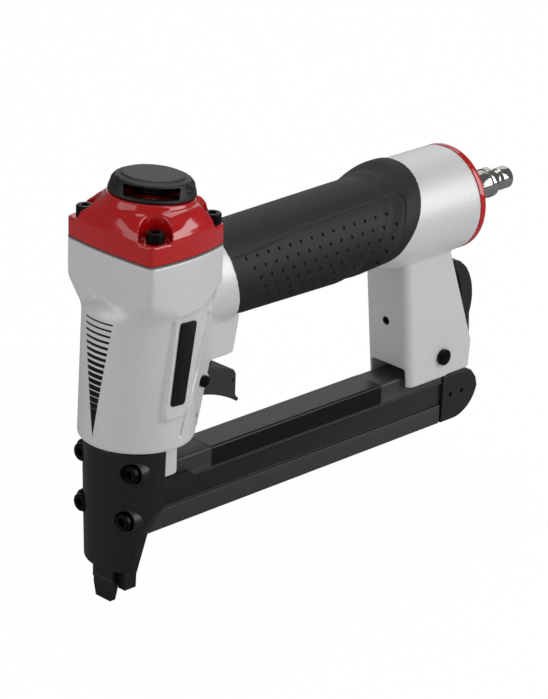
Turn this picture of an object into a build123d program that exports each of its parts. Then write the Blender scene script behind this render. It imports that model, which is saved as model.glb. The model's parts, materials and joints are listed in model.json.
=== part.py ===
"""Pneumatic fine-wire stapler in separate parts: cast body with handle, cylinder and driver, nose, trigger
valve, magazine with its drawer, staple pusher and rear latch. Millimetres. The origin lies on the work
surface under the driver outlet, +X runs to the rear, +Z up, and Y = 0 is the middle plane."""
import os
from math import atan2, cos, degrees, pi, radians, sin, sqrt

from build123d import *

os.makedirs("parts", exist_ok=True)

# Clearances
seat_gap = 0.02         # parts fixed in one another
loose_gap = 0.1         # clearance holes and slots round fixed parts
run_gap = 0.05          # radial, round parts that slide or turn
slide_gap = 0.15        # flat faces that slide on one another
free_gap = 0.4          # moving parts that pass without touching

# Driver line and cylinder
blade_front = 2.3
blade_t = 1.2
blade_half = 5.2
bore_x = 15.3
bore_r = 14.5
sleeve_wall = 1.0
floor_z = 65.3          # underside of the round cast body
floor_t = 4.0
bumper_t = 5.0
piston_t = 8.0
piston_ring_w = 1.9
piston_ring_t = 1.65
stroke = 43.0
tip_rest = 43.5         # height of the blade's tip at rest
blade_tuck = 3.6        # depth of the blade in the piston
driver_pin_r = 1.0

# Socket cap screws
screw_r = 2.0
screw_head_r = 3.5
screw_head_h = 4.0
screw_socket_af = 3.0

# Head of the cast body
body_top = 141.7
head_front = -1.9
head_corner_x = -0.4
head_corner_half = 23.3
head_mid_x = 17.0
head_mid_half = 24.7
head_rear_x = 39.5
head_rear_half = 20.6
head_corner_r = 2.6
low_x = 15.2            # axis of the round body at its underside
low_r = 22.5
low_lean = 1.8          # degrees, the round body leans to the rear going up
low_top = 118.5
low_edge_r = 1.5
shoulder_h = 8.0        # round body's taper under the front face
shoulder_in = 6.5
spread = 0.69           # growth of the taper from the round body to the head, per millimetre of height
spread_x = 17.2
pad_half = 23.6         # flat badge pads on the sides
badge_t = 0.5
chamber_x = 18.0
chamber_r = 12.5
passage_r = 2.6         # air passage from the handle to the chamber
passage_up = 9.0

# Flange behind the round body: half width at the origin, loss per X, gain per Z
flange_base = 19.3
flange_taper = 0.531
flange_gain = 0.1563
flange_low = 62.0
flange_high = 127.0
flange_rear_low = 39.2
flange_rear_high = 49.2
flange_hole_x = 36.4
flange_hole_z = 69.0
flange_hole_r = 1.3

# Cylinder cap
gasket_t = 0.6
cap_band_h = 7.8
cap_dome_h = 8.8
cap_draft = 9.0
cap_edge_r = 4.8
cap_roof = 6.0
cap_port_r = 2.6
cap_port_circle = 9.0
cap_screw_front = 5.2
cap_screw_rear = 35.8
cap_screw_half_front = 19.2
cap_screw_half_rear = 17.2
cap_screw_length = 22.0
niche_r = 6.1

# Exhaust deflector
deflector_x = 21.0
deflector_r = 16.7
deflector_wall = 3.0
deflector_h = 7.4
deflector_gap = 0.3
deflector_top_r = 11.6
deflector_lean = 5.0    # degrees, to the rear
seat_rise = 1.6         # middle of the deflector's seat above the cap's flat top
turret_low = 3.4         # foot of the turret above the niches
turret_x = 19.0
turret_r = 19.5
scallops = 14
scallop_r = 2.8
hub_r = 4.5
exhaust_chord = 20.8
exhaust_h = 4.2
exhaust_low = 1.2
exhaust_turn = 225.0    # degrees, plan direction of the exhaust slot
bolt_r = 2.5
bolt_head_r = 5.0
bolt_head_h = 3.0
bolt_reach = 6.0

# Handle, barrel and air inlet
handle_z = 121.4
barrel_z = 122.2
handle_r = 16.2
collar_r = 19.4
collar_rear = 49.6      # on the handle axis
barrel_r = 21.8
barrel_tilt = 34.0      # degrees, slant of the barrel's front end under the grip
barrel_length = 47.2    # on the axis
barrel_past = 7.6       # barrel end behind the latch pin
reservoir_r = 12.6
reservoir_front = 46.0
inlet_bore_r = 17.6
inlet_depth = 9.0
inlet_cap_t = 3.3
seal_r = 0.9
grip_front_r = 18.5
grip_rear_r = 19.5
grip_flare_r = 22.6
flare_length = 11.0
plug_thread_r = 6.2
plug_hex_af = 14.0
plug_hex_t = 9.0
plug_body_r = 5.6
plug_collar_r = 6.2
plug_groove_r = 3.7
plug_end_r = 4.65
plug_bore_r = 2.4
plug_out = 39.4         # plug end behind the barrel

# Rear column of the body
column_half = 12.0
column_wall = 2.8
column_ahead = 19.4     # column's foot, before and behind the latch pin
column_behind = 17.8
column_slope = 6.6      # its front is this much further forward at the top
column_low = 48.0
column_knee = 60.5
column_round = 4.0
column_rear_round = 1.2
column_slot_roof = 56.2
column_roof = 96.0

# Trigger and valve
pivot_x = 38.0
pivot_z = 84.2
pivot_r = 1.5
pivot_boss_r = 3.4
pivot_boss_h = 0.3
pivot_head_r = 2.4
pivot_head_h = 1.1
pivot_clip_r = 3.0
trigger_half = 6.4
trigger_wall = 1.5
hub_radius = 3.7
housing_low = 90.5
housing_rear = 57.0
housing_half = 10.5
valve_x = 52.0
valve_r = 6.0
valve_length = 16.5
valve_bore_r = 4.2
valve_floor = 5.0
valve_roof = 1.4
valve_seal_r = 0.62
stem_r = 1.5
stem_out = 7.7          # length of stem below the housing at rest
stem_collar_r = 3.6
stem_collar_t = 1.6
valve_spring_r = 2.7
valve_wire_r = 0.3

# Nose
plate_axis = 15.5
plate_top = 64.6
plate_knee = 33.0
plate_low = 14.5
plate_r_top = 20.8
plate_r_knee = 20.0
plate_r_low = 19.5
plate_t = 2.3
plate_back = 9.7
nose_back = 13.8
nose_low = 5.6
nose_half = 9.2
nose_top_half = 18.4
arm_t = 1.15
arm_rear = 37.4
tongue_front = -1.5
neck_front = -0.3
tongue_half = 5.6
neck_inset = 0.8
tip_front = -0.7
tip_h = 8.5
tip_foot_half = 4.2
upper_seat_x = 3.0
upper_screw_half = 14.0
upper_screw_z = 56.7
upper_screw_length = 18.0
lower_seat_x = 1.4
lower_screw_half = 12.0
lower_screw_z = 36.8
lower_screw_length = 11.0
lug_rear = 22.3

# Magazine
mag_half = 7.25
mag_front = 14.0
rail_top = 51.8
rail_low = 42.8
rail_wall = 1.0
rail_past = 5.4         # rail behind the latch pin
rail_lip = 0.35
cover_low = 24.4
cover_shoulder = 33.0
cover_wall_top = 46.0
cover_inner_half = 5.45
cover_floor = 0.9
core_half = 4.4
core_top = 42.6
core_low = 27.0
core_foot_half = 3.0
pusher_length = 18.0
post_length = 5.0
guide_z = 46.8
guide_r = 1.2
pusher_spring_r = 2.2
pusher_wire_r = 0.35
end_gap = 1.4           # drawer end behind the rail
end_length = 21.7
end_top = 45.4
end_plug = 5.4
end_pin_r = 1.0
end_pin_set = 5.0
end_pin_pitch = 6.8
end_pin_z = 36.0
rivet_x = 20.0
rivet_z = 45.0
rivet_r = 1.2
label_front = 48.7
label_rear = 143.7
label_t = 0.15

# Latch
latch_x = 174.6         # the rear of the tool keeps its distance from the latch pin
latch_z = 57.7
latch_pin_r = 2.2
latch_head_r = 3.4
latch_head_h = 1.7
latch_clip_r = 4.0
latch_hub_r = 4.4
lever_half = 5.9
tooth_gap = 0.6         # tooth above the drawer's catch
spacer_r = 3.6
latch_spring_z = 75.6
latch_spring_r = 3.0
latch_wire_r = 0.45
column_hole_r = 1.4

# Retaining rings
clip_t = 0.7
clip_set = 0.2          # from the seat to the groove
clip_depth = 0.45

# Levels that follow from the sizes above
sleeve_r = bore_r + sleeve_wall
bumper_z = floor_z + floor_t
piston_low = bumper_z + bumper_t + 0.3 + stroke
piston_ring_z = piston_low + piston_t - 2.4
driver_pin_z = piston_low + blade_tuck / 2
sleeve_top = piston_low + piston_t + 0.7
blade_back = blade_front + blade_t
cap_z = body_top + gasket_t
niche_z = cap_z + cap_band_h
cap_top = niche_z + cap_dome_h
seat_z = cap_top + seat_rise
seat_r = deflector_r + 0.5
deflector_z = seat_z + deflector_gap
deflector_top = deflector_z + deflector_h
valve_top = housing_low + valve_length
stem_tip = housing_low - stem_out
stem_collar_top = housing_low + valve_floor + free_gap + stem_collar_t
barrel_end = latch_x + barrel_past
barrel_front = barrel_end - barrel_length
flare_front = barrel_front - flare_length
plug_reach = barrel_end + plug_out
column_front_low = latch_x - column_ahead
column_front_high = column_front_low - column_slope
column_rear = latch_x + column_behind
rail_end = latch_x + rail_past
end_front = rail_end + end_gap
end_rear = end_front + end_length
end_pin_front = end_front + end_pin_set
slot_half = trigger_half + free_gap
slot_front = pivot_x - hub_radius - 0.5
rail_inner_half = mag_half - rail_wall
cover_wall_half = rail_inner_half - slide_gap
arm_inner = mag_half + rail_lip + 0.05
channel_half = column_half - column_wall
channel_front = column_front_low + 3.2
inlet_face = barrel_end + inlet_cap_t
pusher_front = blade_back + free_gap
pusher_rear = pusher_front + pusher_length
plug_front = end_front - end_plug
post_top = rail_top - rail_wall - 3 * free_gap


def block(x0, x1, y0, y1, z0, z1):
    """Box between two opposite corners."""
    return Pos((x0 + x1) / 2, (y0 + y1) / 2, (z0 + z1) / 2) * Box(x1 - x0, y1 - y0, z1 - z0)


def slab(x0, x1, half, z0, z1):
    """Box that is symmetric about the middle plane."""
    return block(x0, x1, -half, half, z0, z1)


def post(x, y, r, z0, z1):
    """Upright round bar."""
    return Pos(x, y, (z0 + z1) / 2) * Cylinder(r, z1 - z0)


def bar_x(y, z, r, x0, x1):
    """Round bar along X."""
    return Pos((x0 + x1) / 2, y, z) * Rot(0, 90, 0) * Cylinder(r, x1 - x0)


def bar_y(x, z, r, y0, y1):
    """Round bar along Y."""
    return Pos(x, (y0 + y1) / 2, z) * Rot(90, 0, 0) * Cylinder(r, y1 - y0)


def cross_hole(x, z, r):
    """Round hole right across the tool."""
    return bar_y(x, z, r, -40, 40)


def side_plate(face, y0, y1):
    """Side profile, drawn in X and Z, given its width between two values of Y."""
    return Pos(0, y1, 0) * extrude(Plane.XZ * face, y1 - y0)


def both_sides(part):
    """A part and its mirror image across the middle plane."""
    return [part, mirror(part, Plane.XZ)]


def profile(*points):
    """Face inside a closed chain of straight lines."""
    return make_face(Polyline(*points, close=True))


def turned_up(x, *points):
    """Body turned about an upright axis from radius and height pairs."""
    face = Plane.XZ * profile(*[(x + r, z) for r, z in points])
    return revolve(face, Axis((x, 0, 0), (0, 0, 1)))


def turned_x(z, *points):
    """Body turned about an axis along X from length and radius pairs."""
    face = Plane.XZ * profile(*[(x, z + r) for x, r in points])
    return revolve(face, Axis((0, 0, z), (1, 0, 0)))


def side_edges(part, half, front):
    """Edges of a side plate's two outlines behind a value of X."""
    return [e for e in part.edges() if abs(e.center().Y) > half - 0.1 and e.center().X > front]


def socket_screw(length):
    """Socket head cap screw, seat at the origin, shank downwards."""
    screw = post(0, 0, screw_r, -length, 0) + post(0, 0, screw_head_r, 0, screw_head_h)
    screw = chamfer(screw.edges().group_by(Axis.Z)[-1], screw_head_r / 10)
    key = extrude(RegularPolygon(screw_socket_af / sqrt(3), 6), screw_head_h)
    return screw - Pos(0, 0, screw_head_h * 0.45) * key


def headed_pin(x, z, r, seat, head_r, head_h):
    """Cross pin with a flat head on the near side and a ring groove past the far seat."""
    groove_y = seat + clip_set
    pin = bar_y(x, z, r, -seat, groove_y + 2 * clip_t)
    pin += bar_y(x, z, head_r, -seat - head_h, -seat)
    groove = bar_y(x, z, head_r + 2, groove_y, groove_y + clip_t)
    return pin - (groove - bar_y(x, z, r - clip_depth, seat, groove_y + 2 * clip_t))


def pin_clip(x, z, r, seat, clip_r):
    """Retaining ring in the groove of a headed pin."""
    groove_y = seat + clip_set
    ring = bar_y(x, z, clip_r, groove_y + seat_gap, groove_y + clip_t - seat_gap)
    return ring - bar_y(x, z, r - clip_depth + seat_gap, seat, groove_y + 2 * clip_t)


def coil(radius, wire_r, turns, length):
    """Helical spring on +Z from the origin, one tube on pairs of tangent arcs, each pair a quarter turn."""
    def point(t):
        return Vector(radius * cos(2 * pi * t), radius * sin(2 * pi * t), length * t / turns)

    def heading(t):
        return Vector(-2 * pi * radius * sin(2 * pi * t), 2 * pi * radius * cos(2 * pi * t),
                      length / turns).normalized()

    edges = []
    for k in range(turns * 4):
        a, b = point(k / 4), point((k + 1) / 4)
        ta, tb = heading(k / 4), heading((k + 1) / 4)
        chord, both, rest = b - a, ta + tb, 2 * (1 - ta.dot(tb))
        reach = (sqrt(chord.dot(both) ** 2 + rest * chord.dot(chord)) - chord.dot(both)) / rest
        middle = (a + ta * reach + b - tb * reach) * 0.5
        heading_middle = (b - tb * reach - a - ta * reach).normalized()
        edges.append(Edge.make_tangent_arc(a, ta, middle))
        edges.append(Edge.make_tangent_arc(middle, heading_middle, b))
    spring = sweep(Plane(origin=point(0), z_dir=heading(0)) * Circle(wire_r), path=Wire(edges))
    marks = [point(k / 24) for k in range(turns * 24 + 1)]
    near = min((mark - marks[0]).length for mark in marks[12:])
    print(f"coil of {turns} turns, least gap between turns {near - 2 * wire_r:.2f} mm")
    return spring


def head_outline():
    """Plan of the head block and cap: bowed front and sides, rounded corners."""
    near_front, near_rear = (head_corner_x, -head_corner_half), (head_rear_x, -head_rear_half)
    far_front, far_rear = (head_corner_x, head_corner_half), (head_rear_x, head_rear_half)
    front = ThreePointArc(far_front, (head_front, 0), near_front)
    near = ThreePointArc(near_front, (head_mid_x, -head_mid_half), near_rear)
    rear = Line(near_rear, far_rear)
    far = ThreePointArc(far_rear, (head_mid_x, head_mid_half), far_front)
    face = make_face(front + near + rear + far)
    return fillet(face.vertices(), head_corner_r)


def cap_screw_places():
    """Plan positions of the four cap screws."""
    front = [(cap_screw_front, s * cap_screw_half_front) for s in (-1, 1)]
    rear = [(cap_screw_rear, s * cap_screw_half_rear) for s in (-1, 1)]
    return front + rear


def plate_screw_places():
    """Seat X, Y, Z and length of the four front plate screws."""
    upper = [(upper_seat_x, s * upper_screw_half, upper_screw_z, upper_screw_length) for s in (-1, 1)]
    lower = [(lower_seat_x, s * lower_screw_half, lower_screw_z, lower_screw_length) for s in (-1, 1)]
    return upper + lower


def flange_half(x, z):
    """Half width of the sloping flange behind the round body."""
    return flange_base - flange_taper * x + flange_gain * z


def flange_section(z, crease_x, rear_x):
    """Plan of the flange at one height."""
    a, b = flange_half(crease_x, z), flange_half(rear_x, z)
    inner = low_r * 2 / 3
    return Pos(0, 0, z) * profile((low_x, -inner), (crease_x, -a), (rear_x, -b), (rear_x, b), (crease_x, a),
                                  (low_x, inner))


def head_form():
    """Outside of the head: bowed block, round leaning body below it, flange behind."""
    block_low = low_top - 5
    form = Pos(0, 0, block_low) * extrude(head_outline(), body_top - block_low)
    taper_low = body_top - 30
    taper_r = low_r + spread * (taper_low - low_top + 1.5)
    taper = Cone(taper_r, taper_r + spread * 30, 30, align=(Align.CENTER, Align.CENTER, Align.MIN))
    form &= Pos(spread_x, 0, taper_low) * taper
    upright = (Align.CENTER, Align.CENTER, Align.MIN)
    turned = Pos(0, 0, -10) * Cylinder(low_r, low_top - floor_z + 10, align=upright)
    turned += Pos(0, 0, low_top - floor_z) * Cone(low_r, low_r - shoulder_in, shoulder_h, align=upright)
    round_body = Pos(low_x, 0, floor_z) * Rot(0, low_lean, 0) * turned
    round_body &= slab(-20, 60, 40, floor_z, body_top - 5)
    round_body = fillet(round_body.edges().group_by(Axis.Z)[0], low_edge_r)
    flange = loft([flange_section(flange_low, 12.4, flange_rear_low),
                   flange_section(flange_high, 35.5, flange_rear_high)], ruled=True)
    flange -= side_plate(profile((0, flange_low - 9), (0, floor_z), (24, floor_z), (33, flange_low + 0.4),
                                 (33, flange_low - 9)), -40, 40)
    foot = flange_rear_low + 1
    flange -= side_plate(profile((foot - 7, flange_low - 1), (foot - 7, flange_low), (foot, flange_low + 2.6),
                                 (foot, flange_low - 1)), -40, 40)
    return form + round_body + flange


def badge_pad():
    """Raised flat pad on the near side of the round body, where the badge sits."""
    outline = profile((13.6, 124), (28.0, 122), (19.6, 79), (7.6, 78.4))
    outline = fillet(outline.vertices(), 3.0)
    return side_plate(outline, -pad_half, -low_r * 0.7)


def column_form():
    """Outside of the rear column that carries the magazine."""
    inside_z = handle_z - 9.4
    outline = profile((column_front_low, column_low), (column_rear - 0.9, column_low + 0.8),
                      (column_rear, column_knee), (column_rear - 13.5, barrel_z - barrel_r - 2.4),
                      (column_rear - 18.4, inside_z),
                      (column_front_high, inside_z))
    form = side_plate(outline, -column_half, column_half)
    front = form.edges().filter_by(lambda e: abs(e.center().Y) > column_half - 0.1).sort_by(Axis.X)[:2]
    form = fillet(front, column_round)
    return fillet(side_edges(form, column_half, column_rear - 8.4), column_rear_round)


def slant(x):
    """Plane across the handle, leaning to the rear going up, that meets the barrel axis at x."""
    lean = radians(barrel_tilt)
    return Plane(origin=(x, 0, barrel_z), x_dir=(sin(lean), 0, cos(lean)), z_dir=(cos(lean), 0, -sin(lean)))


def slanted_bar(r, x0, x1):
    """Round bar on the barrel axis with a slanted front end."""
    behind = slant(x0) * Box(200, 200, 150, align=(Align.CENTER, Align.CENTER, Align.MIN))
    return bar_x(0, barrel_z, r, x0 - 40, x1) & behind


def collar_cut():
    """Space behind the curved rear edge of the handle collar."""
    top, bottom = (collar_rear - 1.4, handle_z + 26), (collar_rear + 8, handle_z - 21)
    edge = ThreePointArc(top, (collar_rear, handle_z - 2), bottom)
    rest = Polyline(bottom, (collar_rear + 40, handle_z - 26), (collar_rear + 40, handle_z + 26), top)
    return side_plate(make_face(edge + rest), -40, 40)


def valve_housing():
    """Outside of the block under the handle that holds the trigger valve."""
    outline = profile((34, housing_low), (housing_rear, housing_low), (housing_rear + 2.6, handle_z - 18.4),
                      (housing_rear + 3, handle_z - 7.4), (34, handle_z - 7.4))
    form = side_plate(outline, -housing_half, housing_half)
    return fillet([e for e in side_edges(form, housing_half, housing_rear - 1) if e.length > 2], 3.0)


def nose_lug():
    """Lug under the body into which an upper front plate screw goes."""
    lug = block(nose_back, lug_rear, upper_screw_half - 5, upper_screw_half + 2.6, upper_screw_z - 5.2,
                floor_z + 2)
    lug = fillet(lug.edges().filter_by(Axis.Z).group_by(Axis.X)[-1], 2.0)
    return fillet(lug.edges().group_by(Axis.Z)[0], 1.2)


def body_casting():
    """Cast body: head, flange, valve housing, handle tube, barrel and column in one piece."""
    body = head_form() + both_sides(badge_pad()) + valve_housing()
    body += bar_x(0, handle_z, collar_r, 30, collar_rear + 12) - collar_cut()
    body += bar_x(0, handle_z, handle_r, 30, barrel_front + 10)
    body += slanted_bar(barrel_r, barrel_front, barrel_end)
    body += column_form()
    pin_seat = flange_half(pivot_x, pivot_z) + pivot_boss_h
    body += bar_y(pivot_x, pivot_z, pivot_boss_r, -pin_seat, pin_seat)
    body += both_sides(nose_lug())
    body -= post(bore_x, 0, sleeve_r + seat_gap, bumper_z, sleeve_top)
    body -= post(chamber_x, 0, chamber_r, sleeve_top - 1, body_top + 1)
    body -= slab(blade_front - free_gap, blade_back + free_gap, blade_half + free_gap, floor_z - 1,
                 bumper_z + 1)
    body -= bar_x(0, handle_z, reservoir_r, reservoir_front, barrel_end - inlet_depth)
    body -= bar_x(0, barrel_z, inlet_bore_r, barrel_end - inlet_depth, barrel_end + 1)
    body -= bar_x(0, handle_z + passage_up, passage_r, chamber_x + 8, reservoir_front + 2)
    body -= post(valve_x, 0, valve_r + seat_gap, housing_low - 1, handle_z)
    body -= slab(slot_front, housing_rear + 3, slot_half, floor_z - 15, housing_low)
    body -= both_sides(bar_y(pivot_x, pivot_z, pivot_boss_r + 0.2, pin_seat, pin_seat + 15))
    body -= cross_hole(pivot_x, pivot_z, pivot_r + seat_gap)
    body -= cross_hole(flange_hole_x, flange_hole_z, flange_hole_r)
    body -= slab(channel_front, column_rear + 18, channel_half, column_low - 8, column_roof)
    body -= slab(column_front_high - 9, channel_front + 1, channel_half, column_low - 8, column_slot_roof)
    body -= bar_x(0, latch_spring_z, column_hole_r, column_front_high - 9, channel_front + 4)
    body -= cross_hole(latch_x, latch_z, latch_pin_r + seat_gap)
    for x, y in cap_screw_places():
        body -= post(x, y, screw_r + seat_gap, niche_z - cap_screw_length - 1, body_top + 1)
    screw_hole = bar_x(-upper_screw_half, upper_screw_z, screw_r + seat_gap, nose_back - 4,
                       upper_seat_x + upper_screw_length)
    return body - both_sides(screw_hole)


def cylinder_sleeve():
    """Hard liner in which the piston runs."""
    liner = post(bore_x, 0, sleeve_r, bumper_z, sleeve_top)
    return liner - post(bore_x, 0, bore_r, bumper_z - 1, sleeve_top + 1)


def bumper():
    """Rubber stop on the cylinder floor, with a slot for the blade."""
    top = bumper_z + bumper_t
    ring = post(bore_x, 0, bore_r - free_gap, bumper_z, top)
    return ring - slab(blade_front - 6, blade_back + free_gap, blade_half + free_gap, bumper_z - 1, top + 1)


def piston():
    """Piston with a seal groove above the slot that takes the blade."""
    top = piston_low + piston_t
    half_groove = piston_ring_w / 2 + run_gap
    disc = post(bore_x, 0, bore_r - run_gap, piston_low, top)
    groove = post(bore_x, 0, bore_r + 1, piston_ring_z - half_groove, piston_ring_z + half_groove)
    disc -= groove - post(bore_x, 0, bore_r - piston_ring_t - run_gap, piston_low, top)
    disc -= slab(blade_front - seat_gap, blade_back + seat_gap, blade_half + seat_gap, piston_low - 1,
                 piston_low + blade_tuck)
    disc -= post(bore_x + 2, 0, bore_r * 0.55, top - 2.6, top + 1)
    return disc - bar_x(0, driver_pin_z, driver_pin_r + seat_gap, blade_front, bore_x)


def piston_ring():
    """Seal in the piston groove."""
    half_ring = piston_ring_w / 2
    ring = post(bore_x, 0, bore_r - seat_gap, piston_ring_z - half_ring, piston_ring_z + half_ring)
    return ring - post(bore_x, 0, bore_r - piston_ring_t, piston_low, piston_low + piston_t)


def driver_blade():
    """Flat blade that drives the staple."""
    blade = slab(blade_front, blade_back, blade_half, tip_rest, piston_low + blade_tuck - seat_gap)
    return blade - bar_x(0, driver_pin_z, driver_pin_r + seat_gap, blade_front - 1, blade_back + 1)


def driver_pin():
    """Pin that holds the blade in the piston."""
    return bar_x(0, driver_pin_z, driver_pin_r, blade_front + loose_gap, bore_x - loose_gap)


def cap_gasket():
    """Flat gasket between body and cap."""
    sheet = Pos(0, 0, body_top) * extrude(head_outline(), gasket_t)
    sheet -= post(chamber_x, 0, chamber_r, body_top - 1, cap_z + 1)
    for x, y in cap_screw_places():
        sheet -= post(x, y, screw_r + loose_gap, body_top - 1, cap_z + 1)
    return sheet


def on_seat(part):
    """Leans a part that is built upright on the deflector's axis."""
    return Pos(deflector_x, 0, seat_z) * Rot(0, deflector_lean, 0) * Pos(-deflector_x, 0, -seat_z) * part


def screw_niche(x, y):
    """Space round the head of a cap screw, open to the corner of the cap."""
    outward = degrees(atan2(y, x - deflector_x))
    way_out = block(0, 3 * niche_r, -niche_r, niche_r, niche_z, cap_top + 9)
    way_out = Pos(x, y, 0) * Rot(0, 0, outward) * way_out
    return post(x, y, niche_r, niche_z, cap_top + 9) + way_out


def cylinder_cap():
    """Cap over the cylinder with a niche at each corner for its screw and ports to the deflector."""
    band = Pos(0, 0, cap_z) * extrude(head_outline(), cap_band_h)
    dome = extrude(Pos(0, 0, niche_z) * head_outline(), cap_dome_h, taper=cap_draft)
    dome = fillet(dome.edges().group_by(Axis.Z)[-1], cap_edge_r)
    seat = on_seat(Pos(deflector_x, 0, seat_z) * Circle(seat_r))
    turret = loft([Pos(turret_x, 0, niche_z + turret_low) * Circle(turret_r), seat], ruled=True)
    cap = band + dome + turret
    for x, y in cap_screw_places():
        cap -= screw_niche(x, y)
        cap -= post(x, y, screw_r + loose_gap, cap_z - 1, niche_z + 1)
    cap -= post(chamber_x, 0, chamber_r, cap_z - 1, cap_top - cap_roof)
    for k in range(4):
        turn = (k + 0.5) * pi / 2
        x, y = deflector_x + cap_port_circle * cos(turn), cap_port_circle * sin(turn)
        cap -= on_seat(post(x, y, cap_port_r, seat_z - cap_roof - 4, seat_z + 1))
    cap -= on_seat(post(deflector_x, 0, bolt_head_r + 0.6, seat_z - cap_roof - 8, seat_z - cap_roof))
    return cap - on_seat(post(deflector_x, 0, bolt_r + run_gap, seat_z - cap_roof - 2, seat_z + 1))


def cap_screws():
    """Four screws that hold the cap."""
    return Compound([Pos(x, y, niche_z) * socket_screw(cap_screw_length) for x, y in cap_screw_places()])


def exhaust_deflector():
    """Turning exhaust hood with a slot and a flat raised top."""
    low, top = deflector_z, deflector_top
    inner_r = deflector_r - deflector_wall
    hood = turned_up(deflector_x, (0, low), (deflector_r, low), (deflector_r, low + 1),
                     (deflector_r - 0.8, low + 4.4), (deflector_r - 2.2, top - 1.2),
                     (deflector_top_r + 0.8, top - 0.6), (deflector_top_r, top), (0, top))
    hood -= turned_up(deflector_x, (hub_r, low - 1), (inner_r, low - 1), (inner_r - 0.8, low + 4.6),
                      (hub_r, low + 5.2))
    reach = deflector_r + 0.4
    for k in range(scallops):
        from_slot = 2 * pi * (k + 0.5) / scallops
        if cos(from_slot) < 0.62:
            turn = from_slot + radians(exhaust_turn)
            hood -= post(deflector_x + reach * cos(turn), reach * sin(turn), scallop_r, low + 2.6, top + 1)
    window = slab(inner_r / 4, deflector_r * 1.5, exhaust_chord / 2, low + exhaust_low,
                  low + exhaust_low + exhaust_h)
    hood -= Pos(deflector_x, 0, 0) * Rot(0, 0, exhaust_turn) * window
    return on_seat(hood - post(deflector_x, 0, bolt_r + seat_gap, low - 1, low + bolt_reach))


def deflector_bolt():
    """Shouldered bolt from inside the cap that carries the deflector."""
    head_z = seat_z - cap_roof - deflector_gap
    bolt = post(deflector_x, 0, bolt_r, head_z, deflector_z + bolt_reach)
    return on_seat(bolt + post(deflector_x, 0, bolt_head_r, head_z - bolt_head_h, head_z))


def plate_turned(inset):
    """Turned solid of the curved front plate, its wall set in by a given amount."""
    return turned_up(plate_axis, (0, plate_low), (plate_r_low - inset, plate_low),
                     (plate_r_knee - inset, plate_knee), (plate_r_top - inset, plate_top), (0, plate_top))


def front_plate():
    """Curved plate over the front of the nose with four bossed screw seats."""
    plate = plate_turned(0) - plate_turned(plate_t)
    for x, y, z, _ in plate_screw_places():
        plate += bar_x(y, z, screw_head_r + 1.3, x - 1.6, x + plate_t + 0.1)
    plate -= plate_turned(plate_t)
    plate &= slab(-20, plate_back, 40, 0, plate_top + 15)
    rear = plate_back + 9
    plate -= side_plate(profile((rear, 41.5), (plate_back, 41.5), (3.4, plate_knee - 2.4), (1.3, plate_low),
                                (1.3, 0), (rear, 0)), -40, 40)
    plate -= slab(tongue_front - seat_gap, blade_back + 1.5, tongue_half + loose_gap, 0, plate_top + 15)
    for x, y, z, _ in plate_screw_places():
        plate -= bar_x(y, z, screw_head_r + 0.35, x - 12, x)
        plate -= bar_x(y, z, screw_r + loose_gap, x - 1, x + 12)
    return plate


def nose_block():
    """Driver guide: holds the blade channel and the way in from the magazine."""
    low_wall, top_wall = plate_r_low - plate_t, plate_r_top - plate_t
    solid = turned_up(plate_axis, (0, nose_low), (low_wall, nose_low), (low_wall, plate_low),
                      (plate_r_knee - plate_t, plate_knee), (top_wall, plate_top), (top_wall, floor_z),
                      (0, floor_z))
    near_side = [(nose_top_half, floor_z), (nose_top_half, 41), (nose_half, 26.5), (nose_half, nose_low)]
    far_side = [(-y, z) for y, z in reversed(near_side)]
    face = profile(*near_side, *far_side)
    solid &= Pos(-10, 0, 0) * extrude(Plane.YZ * face, nose_back + 10)
    solid -= slab(-20, blade_front, 40, 0, plate_low)
    rear = nose_back + 9
    solid -= side_plate(profile((7.8, 0), (8.2, 11), (nose_back, 26.5), (rear, 26.5), (rear, 0)), -40, 40)
    arm = profile((nose_back - 4, 38.5), (arm_rear - 3.4, 40.5), (arm_rear, 42.6), (arm_rear, 44.6),
                  (arm_rear - 2.4, 46.2), (nose_back - 4, 46.5))
    solid += both_sides(side_plate(arm, -arm_inner - arm_t, -arm_inner))
    solid -= cross_hole(rivet_x, rivet_z, rivet_r + seat_gap)
    solid -= slab(-20, blade_front - loose_gap, tongue_half + loose_gap, 0, floor_z + 15)
    solid -= slab(-20, blade_back + loose_gap, blade_half + loose_gap, 0, floor_z + 15)
    solid -= slab(blade_back, nose_back + 1, cover_inner_half + 0.2, core_low - free_gap,
                  cover_wall_top + free_gap)
    for x, y, z, length in plate_screw_places():
        solid -= bar_x(y, z, screw_head_r + 0.5, x - 8, x)
        solid -= bar_x(y, z, screw_r + loose_gap, x - 1, x + length + 1)
    return solid


def nose_tongue():
    """Flat front guide with a slightly proud, chamfered tip that rests on the work."""
    back = blade_front - loose_gap
    tongue = slab(tongue_front, back, tongue_half, plate_low + 1, floor_z - 0.3)
    tongue += slab(neck_front, back, tongue_half - neck_inset, tip_h - 1, plate_low + 2)
    tip = profile((-tip_foot_half, 0), (tip_foot_half, 0), (tongue_half, tip_h - 3), (tongue_half, tip_h),
                  (-tongue_half, tip_h), (-tongue_half, tip_h - 3))
    return tongue + Pos(tip_front, 0, 0) * extrude(Plane.YZ * tip, back - tip_front)


def front_plate_screws():
    """Four screws that hold the front plate and nose."""
    return Compound([Pos(x, y, z) * Rot(0, -90, 0) * socket_screw(length)
                     for x, y, z, length in plate_screw_places()])


def grip_flare():
    """Slanted cone from the handle's sleeve out to the rim over the barrel."""
    lean = cos(radians(barrel_tilt))
    growth = (grip_flare_r - grip_rear_r) / (barrel_front - 1.5 - flare_front)
    ends = [(x, grip_rear_r + growth * (x - flare_front)) for x in (flare_front - 4, barrel_front + 30)]
    cone = loft([slant(x) * Ellipse(r / lean, r) for x, r in ends], ruled=True)
    return cone & bar_x(0, barrel_z, grip_flare_r, flare_front - 30, barrel_front + 25)


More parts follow.
